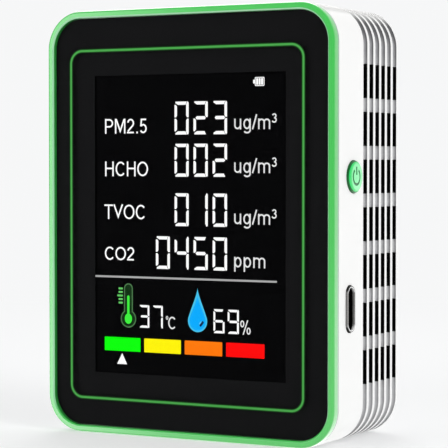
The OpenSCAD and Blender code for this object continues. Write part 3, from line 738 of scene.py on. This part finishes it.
# Plain sans-serif letters: how far each moves the pen, and the middle lines of its strokes. One unit is
# the height of a capital.
GLYPHS = {
    "P": (0.93, [[(0.17, 0), (0.17, 1)],
                 [(0.235, 0.935), *bend((0.50, 0.70), (0.29, 0.235), 90, -90), (0.235, 0.465)]]),
    "M": (1.16, [[(0.16, 0), (0.16, 1)], [(1.0, 0), (1.0, 1)], [(0.21, 0.97), (0.58, 0.17), (0.95, 0.97)]]),
    "H": (1.01, [[(0.17, 0), (0.17, 1)], [(0.84, 0), (0.84, 1)], [(0.235, 0.53), (0.775, 0.53)]]),
    "C": (1.01, [bend((0.535, 0.5), (0.40, 0.435), 42, 318, 24)]),
    "O": (1.09, [ring((0.54, 0.5), (0.43, 0.435))]),
    "T": (0.85, [[(0.03, 0.935), (0.82, 0.935)], [(0.427, 0), (0.427, 0.87)]]),
    "V": (0.93, [[(0.07, 1), (0.465, 0.17), (0.86, 1)]]),
    "2": (0.78, [[*bend((0.385, 0.69), (0.255, 0.245), 170, -35), (0.13, 0.14)],
                 [(0.05, 0.065), (0.67, 0.065)]]),
    "3": (0.78, [bend((0.37, 0.735), (0.22, 0.2), 160, -90), bend((0.365, 0.29), (0.26, 0.235), 90, -160)]),
    "5": (0.78, [[(0.63, 0.935), (0.205, 0.935), (0.15, 0.47)],
                 bend((0.365, 0.325), (0.26, 0.26), 135, -150)]),
    ".": (0.39, [[(0.195, 0), (0.195, 0.13)]]),
    "/": (0.39, [[(0.03, 0), (0.36, 1)]]),
    "u": (0.78, [[(0.15, 0.725), *bend((0.365, 0.26), (0.215, 0.195), 180, 350)],
                 [(0.61, 0), (0.61, 0.725)]]),
    "g": (0.78, [ring((0.355, 0.365), (0.235, 0.30)),
                 [(0.61, 0.725), *bend((0.365, -0.06), (0.245, 0.165), 0, -155)]]),
    "m": (1.16, [[(0.15, 0), (0.15, 0.725)],
                 [*bend((0.365, 0.48), (0.215, 0.18), 165, 0), (0.58, 0)],
                 [*bend((0.795, 0.48), (0.215, 0.18), 165, 0), (1.01, 0)]]),
    "p": (0.78, [[(0.15, -0.28), (0.15, 0.725)], ring((0.40, 0.365), (0.235, 0.30))]),
    "o": (0.42, [ring((0.2, 0.85), (0.13, 0.12), 20)]),
    "%": (1.24, [ring((0.26, 0.74), (0.17, 0.2), 20), ring((0.98, 0.26), (0.17, 0.2), 20),
                 [(0.36, 0), (0.88, 1)]]),
}


def letter_outlines(text, x, z, height, squeeze, width):
    """The outlines of a line of text, and the x where it ends."""
    outlines = []
    for character in text:
        step, strokes = GLYPHS[character]
        for points in strokes:
            placed = [(x + px * height * squeeze, z + pz * height) for px, pz in points]
            outlines.append(stroke(placed, width, closed=isinstance(points, tuple)))
        x += step * height * squeeze
    return outlines, x


def lettering(name, text, x, z, height, material, squeeze, width, raised=""):
    """Text whose baseline starts at (x, z), then an optional small raised character."""
    outlines, end = letter_outlines(text, x, z, height, squeeze, width)
    if raised:
        outlines += letter_outlines(raised, end, z + 0.43 * height, 0.62 * height, squeeze, 0.85 * width)[0]
    printed(name, outlines, material)


# ---------------------------------------- display: pictures

def battery_icon(material):
    """A battery lying on its side, full, with its terminal to the left."""
    left, foot, width, height, line = 15.54, 70.06, 2.1, 1.74, 0.16
    middle = (left + width / 2, foot + height / 2)
    outlines = [(rounded_rect(width, height, 0.2, middle, 3),
                 rounded_rect(width - 2 * line, height - 2 * line, 0.06, middle, 3))]
    outlines.append(rounded_rect(0.36, 0.75, 0.12, (left - 0.19, middle[1]), 3))
    for i in range(3):
        outlines.append(rounded_rect(0.42, height - 0.5, 0.05, (middle[0] + (i - 1) * 0.54, middle[1]), 3))
    printed("display_battery_icon", outlines, material)


def thermometer(outline_material, glass_material, scale_material, fill_material):
    """A thermometer with a filled bulb and stem, and a short scale to its left."""
    x, bulb_z, bulb_r = -13.5, 23.55, 1.7
    tube_r, tube_top = 0.92, 30.6
    neck = math.degrees(math.asin(tube_r / bulb_r))
    around_bulb = arc((x, bulb_z), bulb_r, 90 - neck, -270 + neck, 32)
    over_tube = arc((x, tube_top - tube_r), tube_r, 180, 0, 12)
    outline = stroke(around_bulb + over_tube, 0.24, closed=True)
    printed("thermometer_outline", [outline], outline_material)
    inner = min(outline, key=lambda side: max(px for px, pz in side))
    printed("thermometer_glass", [inner], glass_material)
    stem_gap = 18
    bulb = bend((x, bulb_z), (0.86, 1.05), 90 - stem_gap, -270 + stem_gap, 24)
    stem = arc((x, 28.0), 0.27, 180, 0, 6)
    printed("thermometer_fill", [bulb + stem], fill_material, UPPER_LAYER)
    ticks = []
    for i in range(5):
        long = 0.3 if i == 2 else 0.0
        ticks.append(rounded_rect(1.0 + long, 0.38, 0.12, (-15.35 - long / 2, 26.75 + 0.72 * i), 3))
    printed("thermometer_scale", ticks, scale_material)


def drop_outline(grow=0.0):
    """A water drop: a round belly whose sides sweep up to a point."""
    x, belly_z, belly_r, tip_z = DROP_X, 23.67, 2.2 + grow, 30.2 + 4.5 * grow
    shoulder, steps = 25, 14
    start_x = belly_r * math.cos(math.radians(shoulder))
    start_z = belly_z + belly_r * math.sin(math.radians(shoulder))
    right = []
    for i in range(steps + 1):
        share = i / steps
        width = start_x * (1 - share) ** 1.5 * (1 + 0.5 * share)
        right.append((x + width, start_z + (tip_z - start_z) * share))
    belly = arc((x, belly_z), belly_r, 180 - shoulder, 360 + shoulder, 2 * steps)
    left = [(2 * x - px, pz) for px, pz in reversed(right)]
    return belly[:-1] + right[:-1] + left[:-1]


def drop(rim_material, fill_material, mark_material, glint_material):
    """The water drop with its paler rim, and a dark reflection with a glint low on its right."""
    inner = drop_outline(-0.32)
    mark = (DROP_X + 0.95, 23.15)

    def oblique(centre, length, width):
        turned = rounded_rect(length, width, width / 2 - 0.01, (0, 0), 6)
        turn = Matrix.Rotation(math.radians(52), 2)
        return [tuple(turn @ Vector(p) + Vector(centre)) for p in turned]
    printed("drop_rim", [(drop_outline(), inner)], rim_material)
    printed("drop_fill", [inner], fill_material)
    printed("drop_mark", [oblique(mark, 1.25, 0.52)], mark_material, UPPER_LAYER)
    glint = (mark[0] - 0.3, mark[1] + 0.2)
    printed("drop_glint", [oblique(glint, 0.75, 0.26)], glint_material, UPPER_LAYER)


def level_bars(colours):
    """Coloured bars in a row, from good to bad."""
    left, width, height, gap, z = -19.2, 8.55, 2.8, 0.9, 16.9
    for i, (name, (hue, colour)) in enumerate(colours.items()):
        x = left + i * (width + gap)
        outline = rounded_rect(width, height, 0.12, (x + width / 2, z + height / 2), 2)
        printed("level_bar_" + name, [outline], lit_material("lit_" + hue, colour, 1.17))


# ---------------------------------------- other new pieces

def perimeter(width, height, radius, spacing):
    """Evenly spaced (x, z, outward x, outward z) along a rounded rectangle round the case's middle."""
    straight_x, straight_z = width - 2 * radius, height - 2 * radius
    quarter = math.pi * radius / 2
    total = 2 * (straight_x + straight_z) + 4 * quarter
    count = 2 * round(total / spacing / 2)
    stretches = []
    for turn in range(4):
        stretches += [("line", turn, straight_z if turn % 2 == 0 else straight_x), ("arc", turn, quarter)]
    places = []
    for i in range(count):
        rest = total * i / count
        for kind, turn, length in stretches:
            if rest <= length:
                break
            rest -= length
        angle = math.pi / 2 * turn
        across, along = (width, height) if turn % 2 == 0 else (height, width)
        if kind == "line":
            local = Vector((across / 2, rest - (along / 2 - radius)))
            out = Vector((1, 0))
        else:
            out = Vector((math.cos(rest / radius), math.sin(rest / radius)))
            local = Vector((across / 2 - radius, along / 2 - radius)) + radius * out
        turned = Matrix.Rotation(angle, 2)
        local, out = turned @ local, turned @ out
        places.append((local.x, local.y + MIDDLE_Z, out.x, out.y))
    return places


def thread(bm, centres, wide, thick, closed):
    """A thread with a flattened section through (point, outward, sideways) triples."""
    sides = 4
    rings = []
    for point, out, aside in centres:
        ring = []
        for k in range(sides):
            angle = 2 * math.pi * k / sides
            ring.append(bm.verts.new(point + aside * wide * math.cos(angle) + out * thick * math.sin(angle)))
        rings.append(ring)
    last = len(rings) if closed else len(rings) - 1
    for i in range(last):
        first, second = rings[i], rings[(i + 1) % len(rings)]
        for k in range(sides):
            m = (k + 1) % sides
            bm.faces.new((first[k], first[m], second[m], second[k]))
    if not closed:
        bm.faces.new(rings[0])
        bm.faces.new(list(reversed(rings[-1])))


def shade_cloth(material):
    """Woven black cloth that lines the shell behind the slots, put there as painted shade for the dark inside
    of the case:
    hoops round the case, crossed by threads from front to back."""
    pitch, wide, thick, wave = 0.85, 0.36, 0.07, 0.07
    inset = (SHELL_HIGH.x - LINER_HIGH.x) / MM + thick + wave
    places = perimeter(CASE_W - 2 * inset, CASE_H - 2 * inset, CORNER_R - inset, pitch)
    front, back = LINER_LOW.y / MM + wide, LINER_HIGH.y / MM - wide
    hoops = round((back - front) / pitch)
    depths = [front + (back - front) * i / hoops for i in range(hoops + 1)]
    rows, columns = range(len(depths)), range(len(places))

    def crossing(row, column, side):
        """The middle of a thread where it passes in front of or behind another, and the way out."""
        x, z, out_x, out_z = places[column]
        out = Vector((out_x, 0, out_z))
        lift = side * wave if (row + column) % 2 else -side * wave
        return Vector((x, depths[row], z)) + out * lift, out

    def build(bm):
        for row in rows:
            hoop = [(*crossing(row, column, 1), Vector((0, 1, 0))) for column in columns]
            thread(bm, hoop, wide, thick, closed=True)
        for column in columns:
            aside = Vector((-places[column][3], 0, places[column][2]))
            thread(bm, [(*crossing(row, column, -1), aside) for row in rows], wide, thick, closed=False)
    return mesh_object("shade_cloth", build, material, smooth=True)


def symbol_ink(material):
    """Dark green ink on the floor of the button's engraved power symbol."""
    radius, line, opening, clear = 1.5, 0.5, 70, 0.02
    bar_low, bar_high = 0.35 + clear, 1.95 - clear
    half = line / 2 - clear
    floor_x = BUTTON_HIGH.x / MM - SYMBOL_CUT
    outlines = [
        stroke(arc((0, 0), radius, 90 + opening / 2 + 1, 450 - opening / 2 - 1, 40), 2 * half),
        [(-half, bar_low), (half, bar_low), (half, bar_high), (-half, bar_high)],
    ]

    def build(bm):
        for outline in outlines:
            slab(bm, outline, -0.04, 0)
        place = Matrix.Translation((floor_x, BUTTON_AXIS[0] / MM, BUTTON_AXIS[1] / MM))
        turn = Matrix.Rotation(math.pi / 2, 4, "Z")
        bmesh.ops.transform(bm, matrix=place @ turn, verts=bm.verts)
    mesh_object("power_symbol_ink", build, material, body="button")


def mask_print(material):
    """The ink behind the panel, all round the display's window. It stays just clear of the panel, so
    that the two faces don't share one plane."""
    clear = 0.01
    size = (MASK_HIGH - MASK_LOW) / MM
    inset = (CASE_W - size.x) / 2
    outline = rounded_rect(size.x, size.z, CORNER_R - inset, (0, MIDDLE_Z))
    window = rounded_rect(*WINDOW_SIZE, 0.1, (0, WINDOW_Z))

    def build(bm):
        slab(bm, outline, MASK_LOW.y / MM + clear, MASK_HIGH.y / MM - clear, window)
    return mesh_object("mask_print", build, material)


def pinstripe(material):
    """The thin line printed on the front of the panel, a little inside its edge."""
    middle = rounded_rect(*STRIPE_SIZE, STRIPE_R, STRIPE_CENTRE)
    front = PANEL_LOW.y / MM - 0.8 * PRINT_THICKNESS
    printed("panel_pinstripe", [stroke(middle, STRIPE_LINE, closed=True)], material, front)


# ---------------------------------------- dressing the object

def dress_cad_nodes():
    """Gives every CAD node its material."""
    steel = metal("plated_steel", (0.62, 0.62, 0.63, 1))
    gold = metal("gold_plate", (0.86, 0.62, 0.26, 1), 0.3)
    black = plastic("black_plastic", srgb(22, 22, 23), 0.45)
    cream = plastic("cream_nylon", srgb(228, 220, 196), 0.45)
    chip = plastic("chip_epoxy", srgb(28, 28, 30), 0.6, 0.06, 0.008)
    wires = plastic("wire_insulation", srgb(190, 30, 24), 0.4, 0.5, 0.004)
    boards = board_material("circuit_board", srgb(12, 84, 46), srgb(22, 112, 62))
    dressed = {
        shell_material(): ["rear_shell"],
        frame_material(): ["front_frame"],
        button_material(): ["power_button"],
        panel_material(): ["front_panel"],
        black_print_material(): ["panel_mask"],
        display_material(): ["lcd_glass"],
        plastic("white_internal_plastic", srgb(236, 236, 232), 0.5): ["lcd_backlight", "lcd_holder"],
        diode_material(): ["backlight_leds"],
        plastic("amber_film", srgb(176, 108, 30), 0.3, 0.4, 0.003): ["lcd_flex"],
        boards: ["main_board", "particle_board", "climate_board"],
        board_material("blue_board", srgb(16, 40, 110), srgb(26, 60, 150)): ["co2_board"],
        port_material(): ["usb_shell"],
        steel: ["board_screws", "case_screws", "switch_cover", "particle_cover",
                "formaldehyde_can", "voc_sensor"],
        gold: ["usb_contacts", "co2_chamber", "co2_pins"],
        metal("turned_brass", (0.72, 0.52, 0.24, 1), 0.3, (12, 1, 1)): ["particle_motor", "particle_laser"],
        black: ["usb_tongue", "switch_body", "switch_plunger", "buzzer", "particle_rotor",
                "particle_optics", "formaldehyde_base"],
        cream: ["flex_connector", "battery_socket", "battery_plug", "particle_socket", "particle_plug"],
        chip: ["board_chips", "climate_chip", "particle_detector"],
        plastic("fired_ceramic", srgb(170, 148, 120), 0.55, 0.1, 0.004): ["board_passives"],
        foil_material(): ["battery_cell"],
        foam_material(): ["panel_tape", "lcd_gasket", "battery_tape", "particle_tape"],
        wires: ["battery_leads", "particle_leads"],
        plastic("grey_module_plastic", srgb(112, 114, 117), 0.5): ["particle_case"],
        plastic("filter_membrane", srgb(232, 232, 228), 0.9, 0.1, 0.02): ["co2_filter"],
        shade_cloth_material(): ["vent_liner"],
    }
    for material, nodes in dressed.items():
        for node in nodes:
            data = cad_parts[node].data
            data.materials.clear()
            data.materials.append(material)


def build_display():
    white = lit_material("lit_white", srgb(255, 255, 255), 1.22)
    grey = lit_material("lit_grey", srgb(175, 175, 175), 1.1)
    soft_white = lit_material("lit_soft_white", srgb(232, 232, 232), 1.1)
    dim_green = lit_material("lit_dim_green", srgb(78, 125, 78), 1.0)
    deep_green = lit_material("lit_deep_green", srgb(2, 48, 6), 1.0)
    scale_green = lit_material("lit_scale_green", srgb(100, 205, 100), 1.1)
    bright_green = lit_material("lit_bright_green", srgb(60, 235, 60), 1.2)

    rows = [
        ("particles", "PM2.5", 61.05, 3.0, 0.86, "023", 60.75, "ug/m", 61.65),
        ("formaldehyde", "HCHO", 52.4, 3.0, 0.86, "002", 52.35, "ug/m", 53.1),
        ("volatiles", "TVOC", 43.7, 3.0, 0.86, "010", 42.5, "ug/m", 43.05),
        ("carbon_dioxide", "CO2", 35.35, 2.75, 0.93, "0450", 33.85, "ppm", 34.55),
    ]
    for name, label, label_z, height, squeeze, digits, digits_z, unit, unit_z in rows:
        lettering("label_" + name, label, LABEL_X, label_z, height, white, squeeze, 0.32)
        reading("reading_" + name, digits, DIGIT_END, digits_z, white)
        raised = "3" if unit.endswith("/m") else ""
        lettering("unit_" + name, unit, UNIT_X, unit_z, UNIT_HEIGHT, soft_white, 0.94, 0.3, raised)

    printed("display_rule", [rounded_rect(*RULE_SIZE, 0.15, RULE_CENTRE, 3)], grey)
    battery_icon(white)
    thermometer(dim_green, deep_green, scale_green, bright_green)
    reading("reading_temperature", "37", -5.4, 21.85, white, (2.35, 4.58), 3.15)
    reading("reading_humidity", "69", 12.0, 21.45, white, (2.5, 4.75), 3.22)
    lettering("unit_temperature", "C", -4.25, 21.8, 2.55, soft_white, 0.78, 0.28)
    lettering("degree_sign", "o", -4.7, 21.93, 2.5, soft_white, 0.6, 0.16)
    lettering("unit_humidity", "%", 12.25, 21.4, 2.85, soft_white, 0.69, 0.24)
    drop(
        lit_material("lit_drop_rim", srgb(70, 195, 235), 1.15),
        lit_material("lit_drop_blue", srgb(0, 168, 248), 1.2),
        lit_material("lit_drop_mark", srgb(0, 40, 85), 1.0),
        lit_material("lit_drop_glint", srgb(90, 195, 255), 1.2),
    )
    level_bars({
        "good": ("green", srgb(0, 255, 0)),
        "fair": ("yellow", srgb(255, 242, 0)),
        "poor": ("orange", srgb(255, 120, 0)),
        "bad": ("red", srgb(255, 0, 0)),
    })
    printed("level_pointer", [[POINTER_LEFT, POINTER_RIGHT, POINTER_TIP]], white)


# ---------------------------------------- studio

FILL = 0.66
BACKDROP = (0.925, 0.93, 0.935, 1)


def look_at(piece, target):
    piece.rotation_euler = (Vector(target) - piece.location).to_track_quat("-Z", "Y").to_euler()


def area_light(name, place, target, size, power, glossy=True):
    light = bpy.data.lights.new(name, "AREA")
    light.shape = "DISK"
    light.size = size
    light.energy = power
    lamp = linked(name, light)
    lamp.location = place
    look_at(lamp, target)
    lamp.visible_glossy = glossy


def pale_world():
    """A pale background and an even fill. Mirrors see a dim front, a bright back and floor, and a
    soft box far to the left."""
    world = bpy.data.worlds.new("studio")
    bpy.context.scene.world = world
    world.use_nodes = True
    tree = world.node_tree
    tree.nodes.clear()
    path = add(tree, "LightPath")
    way = add(tree, "SeparateXYZ", {0: add(tree, "TexCoord").outputs["Generated"]})
    seen = add(tree, "Background", {"Color": BACKDROP, "Strength": 1.0})
    fill = add(tree, "Background", {"Color": (1, 1, 1, 1), "Strength": FILL})
    behind = ramp(tree, way.outputs[1], -0.2, 0.3, 0.2, 1.1)
    in_front = ramp(tree, way.outputs[1], -0.5, -0.6)
    left = both(tree, ramp(tree, way.outputs[0], -0.49, -0.56, 0.0, 3.5), in_front)
    low = ramp(tree, way.outputs[2], 0.02, -0.13, 0.0, 0.9)
    mirror = calc(tree, "ADD", behind, calc(tree, "ADD", left, low))
    mirrored = add(tree, "Background", {"Color": (1, 1, 1, 1), "Strength": mirror})
    glossy, direct = path.outputs["Is Glossy Ray"], path.outputs["Is Camera Ray"]
    matte = add(tree, "MixShader", {0: glossy, 1: fill.outputs[0], 2: mirrored.outputs[0]})
    whole = add(tree, "MixShader", {0: direct, 1: matte.outputs[0], 2: seen.outputs[0]})
    add(tree, "OutputWorld", {"Surface": whole.outputs[0]})


def pale_floor():
    """A round pale floor that catches a soft shadow and fades into the background."""
    radius = 3.0
    bm = bmesh.new()
    bmesh.ops.create_circle(bm, cap_ends=True, segments=96, radius=radius)
    floor = from_bmesh("floor", bm)
    floor.location.z = -0.05 * MM
    material, tree = new_material("pale_floor")
    place = add(tree, "TexCoord").outputs["Object"]
    away = add(tree, "VectorMath", {0: place}, operation="LENGTH").outputs["Value"]
    paint = add(tree, "BsdfDiffuse", {"Color": (0.89, 0.895, 0.9, 1)})
    beyond = add(tree, "Emission", {"Color": BACKDROP, "Strength": 1.0})
    share = ramp(tree, away, 0.1, 0.4, 0.4, 1.0)
    mixed = add(tree, "MixShader", {0: share, 1: paint.outputs[0], 2: beyond.outputs[0]})
    floor.data.materials.append(surface(material, mixed))
    floor.visible_glossy = False


def camera():
    """It stands to the right of the front, a little above the object's middle."""
    azimuth, elevation = math.radians(29.06), math.radians(1.71)
    distance = 0.4002
    target = Vector((0.47 * MM, -0.2 * MM, 42.6 * MM))
    way = Vector((
        math.sin(azimuth) * math.cos(elevation),
        -math.cos(azimuth) * math.cos(elevation),
        math.sin(elevation),
    ))
    lens = bpy.data.cameras.new("camera")
    lens.lens = 156.9
    lens.clip_start = 0.01
    lens.clip_end = 20
    eye = linked("camera", lens)
    eye.location = target + way * distance
    look_at(eye, target)
    bpy.context.scene.camera = eye


def studio():
    middle = (0, 0, MIDDLE_Z * MM)
    pale_world()
    pale_floor()
    area_light("key", (0.85, -0.3, 0.7), middle, 0.5, 3.7, glossy=False)
    area_light("front", (-0.3, -1.0, 0.5), middle, 0.8, 3.0, glossy=False)
    area_light("back", (-0.5, 0.9, 0.8), middle, 0.7, 5.0)
    bpy.context.scene.view_settings.view_transform = "Standard"
    bpy.context.scene.cycles.use_denoising = True


dress_cad_nodes()
# The black cloth behind the slots stands in for the shade inside the case.
cloth = shade_cloth(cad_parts["vent_liner"].data.materials[0])
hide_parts("vent_liner")
ink = mask_print(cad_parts["panel_mask"].data.materials[0])
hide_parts("panel_mask")
pinstripe(pinstripe_material())
symbol_ink(plastic("symbol_ink", SYMBOL_GREEN, 0.35))
build_display()
studio()
camera()
